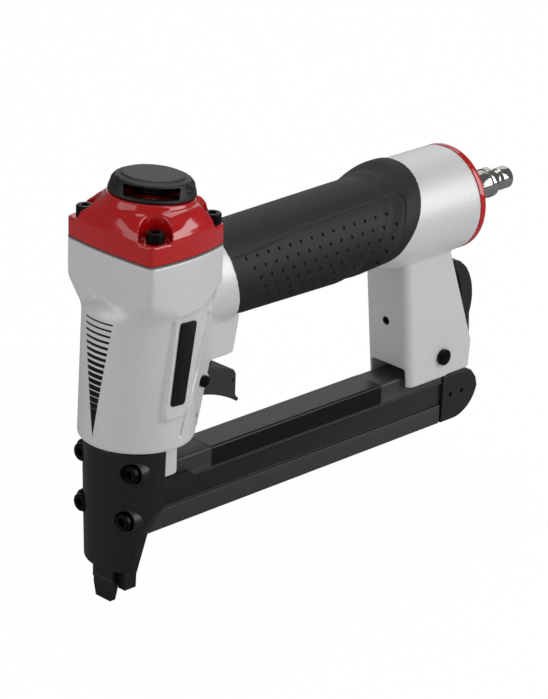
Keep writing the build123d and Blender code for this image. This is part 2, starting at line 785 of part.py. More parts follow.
def grip_sleeve():
    """Soft sleeve on the handle, its rear rim flared over the barrel and cut on a curve."""
    start, rear = collar_rear - 4.6, barrel_front + 15
    grip = turned_x(handle_z, (start, 0), (start, grip_front_r), (collar_rear + 10, grip_front_r),
                    (flare_front, grip_rear_r), (rear, grip_rear_r), (rear, 0))
    grip += grip_flare()
    top, bottom = (barrel_front + 19.4, barrel_z + 26), (barrel_front - 13, barrel_z - 21)
    rim = ThreePointArc(top, (barrel_front + 8, barrel_z + 1.2), bottom)
    away = rim + Polyline(bottom, (barrel_front - 17, barrel_z - 30), (barrel_front + 40, barrel_z - 30),
                          (barrel_front + 40, barrel_z + 26), top)
    grip -= side_plate(make_face(away), -40, 40)
    grip &= collar_cut() + slab(collar_rear + 30, barrel_front + 35, 40, handle_z - 31, handle_z + 34)
    grip -= bar_x(0, handle_z, handle_r + seat_gap, start - 20, barrel_front + 20)
    grip -= slanted_bar(barrel_r + seat_gap, barrel_front - seat_gap, barrel_front + 35)
    return grip - slab(40, housing_rear + 3.4, housing_half + loose_gap, housing_low - 10, handle_z - 11)


def inlet_cap():
    """End cap of the barrel with a threaded air inlet."""
    spigot_r = inlet_bore_r - seat_gap
    cap = bar_x(0, barrel_z, barrel_r, barrel_end, inlet_face)
    cap = fillet(cap.edges().group_by(Axis.X)[-1], 1.0)
    cap += bar_x(0, barrel_z, spigot_r, barrel_end - inlet_depth + 0.3, barrel_end)
    groove_x, half_groove = barrel_end - inlet_depth / 2, seal_r * 1.25
    groove = bar_x(0, barrel_z, barrel_r + 8, groove_x - half_groove, groove_x + half_groove)
    cap -= groove - bar_x(0, barrel_z, spigot_r - 2 * seal_r - loose_gap, groove_x - 2, groove_x + 2)
    return cap - bar_x(0, barrel_z, plug_thread_r + seat_gap, barrel_end - 30, inlet_face + 10)


def inlet_seal():
    """Seal ring of the end cap."""
    ring_r = inlet_bore_r - seal_r - run_gap
    return Pos(barrel_end - inlet_depth / 2, 0, barrel_z) * Rot(0, 90, 0) * Torus(ring_r, seal_r)


def air_plug():
    """Quick-release air plug screwed into the end cap."""
    end, thread_end = plug_reach, barrel_end - inlet_depth + 2
    plug = turned_x(barrel_z, (thread_end, 0), (thread_end, plug_thread_r), (inlet_face, plug_thread_r),
                    (inlet_face, plug_body_r), (end - 14.5, plug_body_r), (end - 14, plug_collar_r),
                    (end - 11, plug_collar_r), (end - 9.6, plug_groove_r), (end - 7.2, plug_groove_r),
                    (end - 5.8, plug_end_r), (end - 0.7, plug_end_r), (end, plug_end_r - 0.7), (end, 0))
    hexagon = extrude(RegularPolygon(plug_hex_af / sqrt(3), 6), plug_hex_t)
    plug += Pos(inlet_face, 0, barrel_z) * Rot(0, 90, 0) * hexagon
    return plug - bar_x(0, barrel_z, plug_bore_r, thread_end - 1, end + 1)


def trigger():
    """Finger lever: channel with a rounded hub, a bridge under the valve stem and a curved finger face."""
    x, z = pivot_x, pivot_z
    under = ThreePointArc((x + 0.5, z - 8.8), (x + 15, z - 12.3), (x + 24.6, z - 17.3))
    outer = Polyline((x + 24.6, z - 17.3), (x + 25.4, z - 16.3), (x + 23.5, z - 14.2), (x + 23.5, z - 5.2),
                     (x + 22.4, z - 3.4), (x + 20.2, z - 2.2), (x + 9.8, z + 1.2), (x + 8.3, z + 3.4),
                     (x + 7, z + 2.4), (x, z + hub_radius), (x - hub_radius, z), (x + 0.5, z - 8.8))
    form = side_plate(make_face(under + outer), -trigger_half, trigger_half)
    form += bar_y(x, z, hub_radius, -trigger_half, trigger_half)
    inner = trigger_half - trigger_wall
    hollow = profile((x + 4.6, z - 8), (x + 15, z - 10), (x + 21.8, z - 12.8), (x + 21.8, z + 11),
                     (x + 4.6, z + 11))
    form -= side_plate(hollow, -inner, inner)
    bridge_top = stem_tip - 0.2
    form += slab(valve_x - 5.2, valve_x + 5, inner, bridge_top - 1.6, bridge_top)
    form -= bar_y(x + 21.9, z - 8, 0.9, -trigger_half - 1, -inner - 0.5)
    return form - cross_hole(x, z, pivot_r + run_gap)


def trigger_pin():
    """Pivot pin of the trigger with a flat head."""
    seat = flange_half(pivot_x, pivot_z) + pivot_boss_h
    return headed_pin(pivot_x, pivot_z, pivot_r, seat, pivot_head_r, pivot_head_h)


def trigger_pin_clip():
    """Retaining ring on the trigger pin."""
    seat = flange_half(pivot_x, pivot_z) + pivot_boss_h
    return pin_clip(pivot_x, pivot_z, pivot_r, seat, pivot_clip_r)


def valve_seal_levels():
    """Heights of the two seals on the valve cartridge."""
    return housing_low + 2.6, valve_top - 4.0


def valve_body():
    """Valve cartridge in the housing above the trigger."""
    body = post(valve_x, 0, valve_r, housing_low, valve_top)
    body -= post(valve_x, 0, stem_r + run_gap, housing_low - 1, valve_top)
    body -= post(valve_x, 0, valve_bore_r, housing_low + valve_floor, valve_top - valve_roof)
    half_groove = valve_seal_r * 1.45
    for z in valve_seal_levels():
        groove = post(valve_x, 0, valve_r + 1, z - half_groove, z + half_groove)
        body -= groove - post(valve_x, 0, valve_r - 2 * valve_seal_r - run_gap, z - 1, z + 1)
    return body


def valve_seals():
    """Two seal rings on the valve cartridge."""
    ring = Torus(valve_r - valve_seal_r - run_gap / 2, valve_seal_r)
    return Compound([Pos(valve_x, 0, z) * ring for z in valve_seal_levels()])


def valve_stem():
    """Valve stem pushed up by the trigger."""
    stem = post(valve_x, 0, stem_r, stem_tip, stem_collar_top + 5)
    stem = fillet(stem.edges().group_by(Axis.Z)[0], stem_r * 0.4)
    return stem + post(valve_x, 0, stem_collar_r, stem_collar_top - stem_collar_t, stem_collar_top)


def valve_spring():
    """Return spring of the valve stem and trigger."""
    low = stem_collar_top + valve_wire_r + 0.1
    high = valve_top - valve_roof - valve_wire_r - 0.1
    return Pos(valve_x, 0, low) * coil(valve_spring_r, valve_wire_r, 4, high - low)


def magazine_rail():
    """Fixed upper channel of the magazine, hung from the column by two ears."""
    rail = slab(mag_front, rail_end, mag_half, rail_low, rail_top)
    rail = fillet(rail.edges().filter_by(Axis.X).group_by(Axis.Z)[-1], rail_wall)
    rail += slab(mag_front, rail_end, mag_half + rail_lip, rail_low, rail_low + 0.7)
    ear_top = latch_z + 3.8
    ears = profile((latch_x - 7.6, rail_top - 3), (rail_end, rail_top - 3), (rail_end, rail_top),
                   (latch_x + 4, ear_top), (latch_x - 4, ear_top), (latch_x - 7.6, rail_top))
    rail += side_plate(ears, -mag_half, mag_half)
    rail -= slab(mag_front - 1, rail_end + 1, rail_inner_half, rail_low - 1, rail_top - rail_wall)
    rail -= slab(latch_x - 15, rail_end + 1, rail_inner_half, rail_top, ear_top + 9)
    rail -= cross_hole(rivet_x, rivet_z, rivet_r + seat_gap)
    return rail - cross_hole(latch_x, latch_z, latch_pin_r + seat_gap)


def rail_label():
    """Plain plate wrapped over the top and sides of the rail."""
    sheet = slab(label_front, label_rear, mag_half + label_t, rail_low + 1, rail_top + label_t)
    sheet = fillet(sheet.edges().filter_by(Axis.X).group_by(Axis.Z)[-1], rail_wall + label_t)
    core = slab(label_front - 1, label_rear + 1, mag_half, rail_low - 1, rail_top)
    return sheet - fillet(core.edges().filter_by(Axis.X).group_by(Axis.Z)[-1], rail_wall)


def magazine_cover():
    """Sliding lower channel of the magazine."""
    front = mag_front + free_gap
    cover = slab(front, rail_end, mag_half, cover_low, cover_shoulder)
    cover = fillet(cover.edges().filter_by(Axis.X).group_by(Axis.Z)[0], 1.2)
    cover += slab(front, rail_end, cover_wall_half, cover_shoulder, cover_wall_top)
    return cover - slab(front - 1, rail_end + 1, cover_inner_half, cover_low + cover_floor,
                        cover_wall_top + 1)


def staple_core():
    """Bar on which the staples ride, with a foot on the floor of the cover."""
    core = slab(pusher_front, plug_front, core_half, core_low, core_top)
    return core + slab(mag_front + 2, plug_front, core_foot_half, cover_low + cover_floor, core_low)


def end_pin_places():
    """X of the two cross pins in the drawer end."""
    return end_pin_front, end_pin_front + end_pin_pitch


def magazine_end_cap():
    """Rounded end of the drawer with a plug that closes the cover and a catch for the latch."""
    line = Polyline((end_rear, end_pin_z), (end_rear - 1, end_top - 5.4), (end_rear - 3.8, end_top - 1.8),
                    (end_rear - 9, end_top), (end_front, end_top), (end_front, cover_low),
                    (end_front + 6.5, cover_low))
    round_end = ThreePointArc((end_front + 6.5, cover_low), (end_rear - 4.4, cover_low + 4),
                              (end_rear, end_pin_z))
    cap = side_plate(make_face(line + round_end), -mag_half, mag_half)
    cap = fillet(side_edges(cap, mag_half, end_front + 0.5), 0.9)
    cap += slab(plug_front, end_front + 1, cover_inner_half - run_gap, cover_low + cover_floor, end_top)
    cap += slab(plug_front, end_front, core_half - 1, end_top - 1, post_top)
    cap += slab(end_front + 2, end_front + 5.5, mag_half - 1.5, end_top - 1, post_top)
    cap -= bar_x(0, guide_z, guide_r + seat_gap, plug_front - 1, end_front - 0.8)
    for x in end_pin_places():
        cap -= cross_hole(x, end_pin_z, end_pin_r + seat_gap)
    return cap


def end_cap_pins():
    """Two cross pins of the drawer end, set below its sides."""
    half = mag_half - 0.6
    return Compound([bar_y(x, end_pin_z, end_pin_r, -half, half) for x in end_pin_places()])


def guide_rod():
    """Rod of the drawer on which the pusher and its spring slide."""
    return bar_x(0, guide_z, guide_r, pusher_rear - post_length - 1, end_front - 1)


def pusher():
    """Saddle on the staple bar that pushes the staples forward."""
    half = cover_inner_half - slide_gap - run_gap
    saddle = slab(pusher_front, pusher_rear, half, core_low + 4, core_top + 2.7)
    saddle -= slab(pusher_front - 1, pusher_rear + 1, core_half + slide_gap, core_low + 3,
                   core_top + slide_gap)
    saddle += slab(pusher_rear - post_length, pusher_rear, core_half - 0.6, core_top + 2, post_top)
    return saddle - bar_x(0, guide_z, guide_r + run_gap, pusher_front - 4, pusher_rear + 4)


def pusher_spring():
    """Long spring between the pusher and the drawer end."""
    start, stop = pusher_rear + free_gap, plug_front - free_gap
    return Pos(start, 0, guide_z) * Rot(0, 90, 0) * coil(pusher_spring_r, pusher_wire_r, 22, stop - start)


def latch_lever():
    """Rear lever that latches the drawer: hub, tooth and thumb pad."""
    x, z = latch_x, latch_z
    tooth_z = post_top + tooth_gap
    pad = ThreePointArc((x + 22.7, z + 11.9), (x + 23.8, z + 21.8), (x + 19.3, z + 33))
    rest = Polyline((x + 19.3, z + 33), (x + 15.8, z + 36.1), (x + 11.8, z + 37.1), (x + 11, z + 35.1),
                    (x + 14.6, z + 29.3), (x + 16.6, z + 21.3), (x + 16, z + 13.3), (x + 11.9, z + 6.3),
                    (x + 2.4, z + 3.9), (x - 3.1, z + 1.3), (x - 2.6, z - 2.9), (x + 6.9, z - 4.3),
                    (end_front + 2.8, tooth_z), (end_front + 7, tooth_z), (x + 15.9, z - 5.1),
                    (x + 23.6, z - 2.9), (x + 22.7, z + 11.9))
    lever = side_plate(make_face(pad + rest), -lever_half, lever_half)
    lever = fillet(side_edges(lever, lever_half, x + 17.4), 1.0)
    lever += bar_y(x, z, latch_hub_r, -lever_half, lever_half)
    return lever - cross_hole(x, z, latch_pin_r + run_gap)


def latch_pin():
    """Pivot pin of the latch and rear hanger of the rail, with a flat head."""
    return headed_pin(latch_x, latch_z, latch_pin_r, column_half, latch_head_r, latch_head_h)


def latch_pin_clip():
    """Retaining ring on the latch pin."""
    return pin_clip(latch_x, latch_z, latch_pin_r, column_half, latch_clip_r)


def latch_spacers():
    """Two rings that centre the rail's ears in the column."""
    ring = bar_y(latch_x, latch_z, spacer_r, mag_half + seat_gap, channel_half - seat_gap)
    return Compound(both_sides(ring - cross_hole(latch_x, latch_z, latch_pin_r + seat_gap)))


def latch_spring():
    """Spring that holds the latch closed, seated in the column."""
    start, stop = channel_front + free_gap + 0.1, latch_x + 15.6
    spring = coil(latch_spring_r, latch_wire_r, 9, stop - start)
    return Pos(start, 0, latch_spring_z) * Rot(0, 90, 0) * spring


def rail_rivets():
    """Two flush rivets that join the rail to the arms of the nose block."""
    return Compound(both_sides(bar_y(rivet_x, rivet_z, rivet_r, rail_inner_half, arm_inner + arm_t)))


def badge_plates():
    """Plain badge on each side of the round body."""
    outline = profile((14.7, 117.1), (23.0, 116.5), (17.5, 84.1), (10.3, 84.5))
    outline = fillet(outline.vertices(), 1.4)
    return Compound(both_sides(side_plate(outline, -pad_half - badge_t, -pad_half)))


PARTS = [body_casting, cylinder_sleeve, bumper, piston, piston_ring, driver_blade, driver_pin, cap_gasket,
         cylinder_cap, cap_screws, exhaust_deflector, deflector_bolt, front_plate, nose_block, nose_tongue,
         front_plate_screws, grip_sleeve, inlet_cap, inlet_seal, air_plug, trigger, trigger_pin,
         trigger_pin_clip, valve_body, valve_seals, valve_stem, valve_spring, magazine_rail, rail_label,
         magazine_cover, staple_core, magazine_end_cap, end_cap_pins, guide_rod, pusher, pusher_spring,
         latch_lever, latch_pin, latch_pin_clip, latch_spacers, latch_spring, rail_rivets, badge_plates]

for make in PARTS:
    shape = make()
    export_step(shape, f"parts/{make.__name__}.step")
    box = shape.bounding_box()
    print(make.__name__, len(shape.solids()), f"{shape.volume:.0f}", box.min, box.max)
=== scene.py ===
# %% [markdown]
# # A pneumatic stapler, dressed in Blender
# The measured model gives every part its place and size. This lesson adds what the eye needs: soft casting
# edges, a pitted rubber grip, bevelled sheet metal, wound springs, and a finish for each surface.
# Everything is in metres, in the frame of the measured model: +X runs to the rear, +Z up, Y = 0 is the
# middle.

# %% Load the measured model
import json
from math import cos, exp, pi, radians, sin, tan

import bmesh
import bpy
from mathutils import Matrix, Vector
from mathutils.bvhtree import BVHTree
from mathutils.kdtree import KDTree

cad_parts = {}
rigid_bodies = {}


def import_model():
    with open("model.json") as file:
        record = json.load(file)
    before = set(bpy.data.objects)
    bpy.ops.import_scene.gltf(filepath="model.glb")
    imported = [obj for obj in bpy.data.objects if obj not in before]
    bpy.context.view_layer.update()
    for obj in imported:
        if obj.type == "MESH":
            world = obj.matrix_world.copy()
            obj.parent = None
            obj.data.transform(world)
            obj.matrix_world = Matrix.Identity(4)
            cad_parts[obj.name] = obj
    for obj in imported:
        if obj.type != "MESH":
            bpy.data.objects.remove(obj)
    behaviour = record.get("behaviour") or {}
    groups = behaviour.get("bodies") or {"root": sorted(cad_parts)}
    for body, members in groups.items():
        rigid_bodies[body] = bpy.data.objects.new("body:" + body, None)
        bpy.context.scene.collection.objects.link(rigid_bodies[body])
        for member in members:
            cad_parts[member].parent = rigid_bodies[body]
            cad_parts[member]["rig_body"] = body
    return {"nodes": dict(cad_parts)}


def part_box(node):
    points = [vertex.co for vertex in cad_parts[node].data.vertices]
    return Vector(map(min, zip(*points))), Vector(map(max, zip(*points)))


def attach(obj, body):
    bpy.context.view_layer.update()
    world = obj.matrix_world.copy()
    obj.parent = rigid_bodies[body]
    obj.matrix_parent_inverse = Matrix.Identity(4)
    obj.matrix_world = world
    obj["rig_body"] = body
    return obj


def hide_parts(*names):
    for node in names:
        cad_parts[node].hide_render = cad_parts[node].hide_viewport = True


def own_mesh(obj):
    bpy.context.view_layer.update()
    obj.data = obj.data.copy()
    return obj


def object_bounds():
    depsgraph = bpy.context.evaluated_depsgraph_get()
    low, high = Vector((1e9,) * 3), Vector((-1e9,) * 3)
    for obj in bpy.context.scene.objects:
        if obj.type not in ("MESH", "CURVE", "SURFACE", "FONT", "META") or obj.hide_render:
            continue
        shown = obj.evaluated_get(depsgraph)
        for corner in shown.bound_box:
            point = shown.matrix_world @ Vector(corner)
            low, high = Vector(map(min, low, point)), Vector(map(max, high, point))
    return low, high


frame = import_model()
nodes = frame["nodes"]
cad_box = [list(corner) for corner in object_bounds()]
mm = 0.001
print("nodes:", len(nodes), "box:", cad_box)

# %% [markdown]
# ## The camera
# The picture was taken from the front left, a little above the tool, with a long lens, so the lines of the
# magazine and the handle stay nearly parallel. The view is fixed by three angles and the place of the nose
# in the picture. A small roll turns the camera about its own axis.

# %% Camera at the picture's angle
picture_w, picture_h = 548, 699
nose_px = (104.0, 597.7)                 # where the foot of the nose lies in the picture
focal_px = 3344.0
px_per_mm = 2.6                          # at the nose
azimuth, elevation, roll = radians(-45.4), radians(22.2), radians(2.0)

back = Vector((sin(azimuth) * cos(elevation), -cos(azimuth) * cos(elevation), sin(elevation)))
level = Vector((cos(azimuth), sin(azimuth), 0))
right = level * cos(roll) + back.cross(level) * sin(roll)
up = back.cross(right)
depth = focal_px / px_per_mm
aside = (nose_px[0] - picture_w / 2) * depth / focal_px
below = (nose_px[1] - picture_h / 2) * depth / focal_px
eye = (back * depth - right * aside + up * below) * mm

camera_data = bpy.data.cameras.new("camera")
camera_data.sensor_width = 36.0
camera_data.lens = focal_px / max(picture_w, picture_h) * camera_data.sensor_width
camera_data.clip_end = 20.0
camera = bpy.data.objects.new("camera", camera_data)
bpy.context.scene.collection.objects.link(camera)
camera.matrix_world = Matrix.Translation(eye) @ Matrix((right, up, back)).transposed().to_4x4()
bpy.context.scene.camera = camera
bpy.context.scene.view_settings.view_transform = "Standard"
print("camera at", [round(v, 3) for v in eye], "lens", round(camera_data.lens, 1))

# %% [markdown]
# ## Materials: small helpers
# Colours are written as sRGB hex values, as a picture editor shows them, and one function makes them
# linear. A second function adds a node, sets its values and links its sockets. Every finish is built from
# these.

# %% Colour and node helpers
def linear(code):
    """Linear RGBA of an sRGB hex colour."""
    parts = [int(code[i:i + 2], 16) / 255 for i in (1, 3, 5)]
    return tuple(c / 12.92 if c <= 0.04045 else ((c + 0.055) / 1.055) ** 2.4 for c in parts) + (1.0,)


def add_node(tree, kind, inputs=None, **settings):
    """A node with its settings, and each input either a value or a link from a socket."""
    node = tree.nodes.new(kind)
    for name, value in settings.items():
        setattr(node, name, value)
    for key, value in (inputs or {}).items():
        if isinstance(value, bpy.types.NodeSocket):
            tree.links.new(value, node.inputs[key])
        else:
            node.inputs[key].default_value = value
    return node


def new_finish(name, colour, metallic, roughness):
    """A material with plain values on its shader; also gives its tree, shader and object coordinates."""
    material = bpy.data.materials.new(name)
    material.use_nodes = True
    tree = material.node_tree
    shader = tree.nodes["Principled BSDF"]
    shader.inputs["Base Color"].default_value = linear(colour)
    shader.inputs["Metallic"].default_value = metallic
    shader.inputs["Roughness"].default_value = roughness
    material.diffuse_color = linear(colour)
    return material, tree, shader, add_node(tree, "ShaderNodeTexCoord").outputs["Object"]


def per_size(size_mm):
    """Texture scale that gives cells of a size in millimetres."""
    return 1.0 / (size_mm * mm)


print("middle grey is", round(linear("#808080")[0], 3), "in linear light")

# %% [markdown]
# ## Silver lacquer on the casting
# The body is die-cast light metal under a satin silver lacquer. Fine flakes in the lacquer give a slight
# grain, drawn here at 0.7 mm so that it shows at this distance. On the front of the round part a printed
# pattern of stripes narrows to a point: a row is told by its height, and its half width shrinks evenly on
# the way down, while the ink takes more and more of each row.

# %% Silver lacquer
silver_paint, tree, shader, where = new_finish("silver_lacquer_on_casting", "#c8c8c8", 0.35, 0.42)
flakes = add_node(tree, "ShaderNodeTexNoise", {"Vector": where, "Scale": per_size(0.7), "Detail": 3.0})
clouds = add_node(tree, "ShaderNodeTexNoise", {"Vector": where, "Scale": per_size(18), "Detail": 2.0})
grain = add_node(tree, "ShaderNodeMix", {"Factor": flakes.outputs["Fac"], 6: linear("#c6c6c7"),
                                         7: linear("#dedede")}, data_type="RGBA")
gloss = add_node(tree, "ShaderNodeMapRange", {"Value": clouds.outputs["Fac"], "To Min": 0.38, "To Max": 0.46})
tree.links.new(gloss.outputs[0], shader.inputs["Roughness"])
skin = add_node(tree, "ShaderNodeBump", {"Height": flakes.outputs["Fac"], "Strength": 0.12,
                                         "Distance": 0.05 * mm})
tree.links.new(skin.outputs[0], shader.inputs["Normal"])
print("finish:", silver_paint.name)

# %% Outline of the stripe print
stripe_top, stripe_end = 116.4 * mm, 69.5 * mm
stripe_half = 7.5 * mm                   # half the width of the top row
stripe_rear = 4 * mm                     # the print lies on the front of the round part only
axes = add_node(tree, "ShaderNodeSeparateXYZ", {"Vector": where}).outputs
height = axes["Z"]
half_width = add_node(tree, "ShaderNodeMapRange", {
    "Value": height, "From Min": stripe_end, "From Max": stripe_top,
    "To Min": 0.0, "To Max": stripe_half}).outputs[0]
across = add_node(tree, "ShaderNodeMath", {0: axes["Y"]}, operation="ABSOLUTE").outputs[0]
inside = add_node(tree, "ShaderNodeMath", {0: across, 1: half_width}, operation="LESS_THAN").outputs[0]
forward = add_node(tree, "ShaderNodeMath", {0: axes["X"], 1: stripe_rear}, operation="LESS_THAN").outputs[0]
below_top = add_node(tree, "ShaderNodeMath", {0: height, 1: stripe_top}, operation="LESS_THAN").outputs[0]
ends = add_node(tree, "ShaderNodeMath", {0: forward, 1: below_top}, operation="MULTIPLY").outputs[0]
print("print from", stripe_end, "to", stripe_top)

# %% Rows of the stripe print
stripe_pitch = 2.36 * mm
stripe_solid = 79.5 * mm                 # below this height the rows have grown together
top_share, solid_share = 0.26, 1.02      # how much of a row is ink
down = add_node(tree, "ShaderNodeMath", {0: stripe_top, 1: height}, operation="SUBTRACT").outputs[0]
row = add_node(tree, "ShaderNodeMath", {0: down, 1: stripe_pitch}, operation="DIVIDE").outputs[0]
phase = add_node(tree, "ShaderNodeMath", {0: row}, operation="FRACT").outputs[0]
share = add_node(tree, "ShaderNodeMapRange", {
    "Value": height, "From Min": stripe_solid, "From Max": stripe_top,
    "To Min": solid_share, "To Max": top_share}).outputs[0]
inked = add_node(tree, "ShaderNodeMath", {0: phase, 1: share}, operation="LESS_THAN").outputs[0]
both = add_node(tree, "ShaderNodeMath", {0: inside, 1: inked}, operation="MULTIPLY").outputs[0]
stripes = add_node(tree, "ShaderNodeMath", {0: both, 1: ends}, operation="MULTIPLY").outputs[0]
paint = add_node(tree, "ShaderNodeMix", {"Factor": stripes, 6: grain.outputs[2], 7: linear("#0c0c0c")},
                 data_type="RGBA")
tree.links.new(paint.outputs[2], shader.inputs["Base Color"])
print("rows:", round((stripe_top - stripe_end) / stripe_pitch))

# %% [markdown]
# ## Red enamel
# The cylinder cap and the rear end cap are cast and coated with a glossy red enamel. Thick enamel is never
# quite flat: it keeps a faint orange peel, about 2 mm from crest to crest. A clear coat on the shader gives
# the hard, bright mirror of the lamps above the softer colour.

# %% Red enamel
red_enamel, tree, shader, where = new_finish("red_enamel", "#ac0d12", 0.0, 0.16)
peel = add_node(tree, "ShaderNodeTexNoise", {"Vector": where, "Scale": per_size(2.2), "Detail": 1.0})
tone = add_node(tree, "ShaderNodeMix", {"Factor": peel.outputs["Fac"], 6: linear("#a0060a"),
                                        7: linear("#b0080d")}, data_type="RGBA")
tree.links.new(tone.outputs[2], shader.inputs["Base Color"])
wave = add_node(tree, "ShaderNodeBump", {"Height": peel.outputs["Fac"], "Strength": 0.08,
                                         "Distance": 0.1 * mm})
tree.links.new(wave.outputs[0], shader.inputs["Normal"])
shader.inputs["Coat Weight"].default_value = 1.0
shader.inputs["Coat Roughness"].default_value = 0.04
print("finish:", red_enamel.name)

# %% [markdown]
# ## Dark finishes
# Five dark surfaces lie side by side on this tool, and they differ in gloss more than in colour: blackened
# steel on the nose, grey phosphated sheet on the magazine, glass-filled nylon on the hood, the drawer end
# and the levers, soft rubber on the grip, and a smooth film on the rail. Each gets the grain of its own
# making, drawn coarser than it is so that it shows: 0.4 to 0.8 mm, and 3 mm for the film's faint waves. The
# seals and the fibre of the gasket are made the same way, and so is the unpainted metal in the body's
# holes, whose near black is painted shade of the holes' depth.

# %% Blackened steel, nylon, rubber and film
def grained(name, colour, lighter, roughness, grit_mm, bump):
    """A dark finish whose tone, gloss and skin vary with one fine grain."""
    material, tree, shader, where = new_finish(name, colour, 0.0, roughness)
    grit = add_node(tree, "ShaderNodeTexNoise", {"Vector": where, "Scale": per_size(grit_mm), "Detail": 4.0})
    tone = add_node(tree, "ShaderNodeMix", {"Factor": grit.outputs["Fac"], 6: linear(colour),
                                            7: linear(lighter)}, data_type="RGBA")
    tree.links.new(tone.outputs[2], shader.inputs["Base Color"])
    spread = 0.06
    gloss = add_node(tree, "ShaderNodeMapRange", {"Value": grit.outputs["Fac"], "To Min": roughness - spread,
                                                  "To Max": roughness + spread})
    tree.links.new(gloss.outputs[0], shader.inputs["Roughness"])
    skin = add_node(tree, "ShaderNodeBump", {"Height": grit.outputs["Fac"], "Strength": bump,
                                             "Distance": 0.1 * mm})
    tree.links.new(skin.outputs[0], shader.inputs["Normal"])
    print("finish:", name)
    return material


black_steel = grained("blackened_steel", "#131313", "#1b1b1b", 0.34, 0.8, 0.10)
grey_steel = grained("phosphated_steel_sheet", "#2c2c2c", "#363636", 0.42, 0.8, 0.10)
black_nylon = grained("black_nylon", "#161617", "#1f1f20", 0.48, 0.6, 0.25)
trigger_nylon = grained("dark_grey_nylon", "#242426", "#2d2d30", 0.5, 0.6, 0.15)
grip_rubber = grained("moulded_rubber", "#121212", "#1a1a1a", 0.6, 0.5, 0.40)
seal_rubber = grained("nitrile_rubber", "#121212", "#191919", 0.6, 0.4, 0.10)
label_film = grained("smooth_black_film", "#040404", "#060606", 0.3, 3.0, 0.02)
# Unpainted metal inside the body's holes. Its near black is painted shade of the holes' depth, not the colour
# of the metal.
bare_metal_and_hole_shade = grained("bare_metal_darkened_as_hole_shade", "#151514", "#201f1e", 0.6, 0.6, 0.20)
gasket_fibre = grained("gasket_fibre", "#5f5c58", "#716d68", 0.8, 0.4, 0.20)
# The film stays nearly black where it faces the light, so its mirror is weaker than a common plastic's.
label_film.node_tree.nodes["Principled BSDF"].inputs["Specular IOR Level"].default_value = 0.35

# %% [markdown]
# ## Bright metals
# The air plug is nickel plated and mirrors the room. Pins, springs and the driver are ground or drawn
# steel, the piston is turned aluminium, the valve brass. Turned parts keep fine rings, so their grain is a
# noise that is stretched along one axis, at half a millimetre, coarser than the real marks so that it shows.
# A metal keeps the default IOR, because its colour is its mirror.

# %% Plated, drawn and turned metals
def metal(name, colour, roughness, stretch, spread):
    """A bare metal with fine marks, stretched along one axis, in its gloss."""
    material, tree, shader, where = new_finish(name, colour, 1.0, roughness)
    drawn = add_node(tree, "ShaderNodeMapping", {"Vector": where, "Scale": stretch})
    marks = add_node(tree, "ShaderNodeTexNoise", {"Vector": drawn.outputs[0], "Scale": per_size(0.5),
                                                  "Detail": 2.0})
    gloss = add_node(tree, "ShaderNodeMapRange", {"Value": marks.outputs["Fac"], "To Min": roughness - spread,
                                                  "To Max": roughness + spread})
    tree.links.new(gloss.outputs[0], shader.inputs["Roughness"])
    print("finish:", name)
    return material


nickel = metal("bright_nickel_plate", "#d6d4d0", 0.1, (1.0, 0.1, 0.1), 0.03)
drawn_steel = metal("drawn_steel", "#8f8f90", 0.32, (0.1, 1.0, 1.0), 0.08)
oiled_steel = metal("oil_blackened_steel", "#242425", 0.36, (1.0, 1.0, 0.2), 0.06)
turned_aluminium = metal("turned_aluminium", "#b9babb", 0.3, (0.1, 0.1, 1.0), 0.08)
brass = metal("turned_brass", "#c9a45c", 0.28, (0.1, 0.1, 1.0), 0.06)

# %% [markdown]
# ## Finishes on the measured parts
# Every measured part takes a finish, also those inside, since a drawer can be pulled out. The pieces that
# are modelled further down take the finish of the part for which they stand.

# %% Paint the measured parts
painted = {
    drawn_steel: ["cylinder_sleeve", "driver_blade", "driver_pin", "deflector_bolt", "valve_stem",
                  "staple_core", "guide_rod", "pusher", "latch_spacers", "trigger_pin_clip", "latch_pin_clip",
                  "valve_spring", "pusher_spring", "latch_spring"],
    turned_aluminium: ["piston"],
    brass: ["valve_body"],
    oiled_steel: ["cap_screws", "front_plate_screws", "trigger_pin", "latch_pin", "end_cap_pins",
                  "rail_rivets"],
    seal_rubber: ["bumper", "piston_ring", "inlet_seal", "valve_seals"],
    gasket_fibre: ["cap_gasket"],
    silver_paint: ["body_casting"],
    red_enamel: ["cylinder_cap", "inlet_cap"],
    black_steel: ["front_plate", "nose_block", "nose_tongue"],
    grey_steel: ["magazine_rail", "magazine_cover"],
    black_nylon: ["exhaust_deflector", "magazine_end_cap", "latch_lever"],
    trigger_nylon: ["trigger"],
    grip_rubber: ["grip_sleeve"],
    label_film: ["rail_label", "badge_plates"],
    nickel: ["air_plug"],
}
finish_of = {}
for finish, names in painted.items():
    for name in names:
        nodes[name].data.materials.clear()
        nodes[name].data.materials.append(finish)
        finish_of[name] = finish
print("painted", len(finish_of), "of", len(nodes))

# %% [markdown]
# ## Working on a copy
# A measured mesh is loose triangles and stays untouched. A copy is welded first, then reshaped, and at the
# end it takes the finish, the moving body and the place of its part. These helpers do the common steps:
# some run a modifier and keep its result, others move points one by one.

# %% Welded copies
def new_piece(name, mesh):
    """An object at the origin for a mesh that holds its own place."""
    piece = bpy.data.objects.new(name, mesh)
    bpy.context.scene.collection.objects.link(piece)
    return piece


def merged_copy(node, name):
    """A new object with the welded mesh of a measured part."""
    mesh = nodes[node].data.copy()
    bm = bmesh.new()
    bm.from_mesh(mesh)
    bmesh.ops.remove_doubles(bm, verts=bm.verts, dist=0.002 * mm)
    bm.to_mesh(mesh)
    bm.free()
    return new_piece(name, mesh)


print("copies can be made of", len(nodes), "parts")


# %% Modifiers with a kept result
def bake(piece):
    """The piece's mesh becomes what its modifiers show."""
    graph = bpy.context.evaluated_depsgraph_get()
    mesh = bpy.data.meshes.new_from_object(piece.evaluated_get(graph))
    piece.modifiers.clear()
    piece.data = mesh


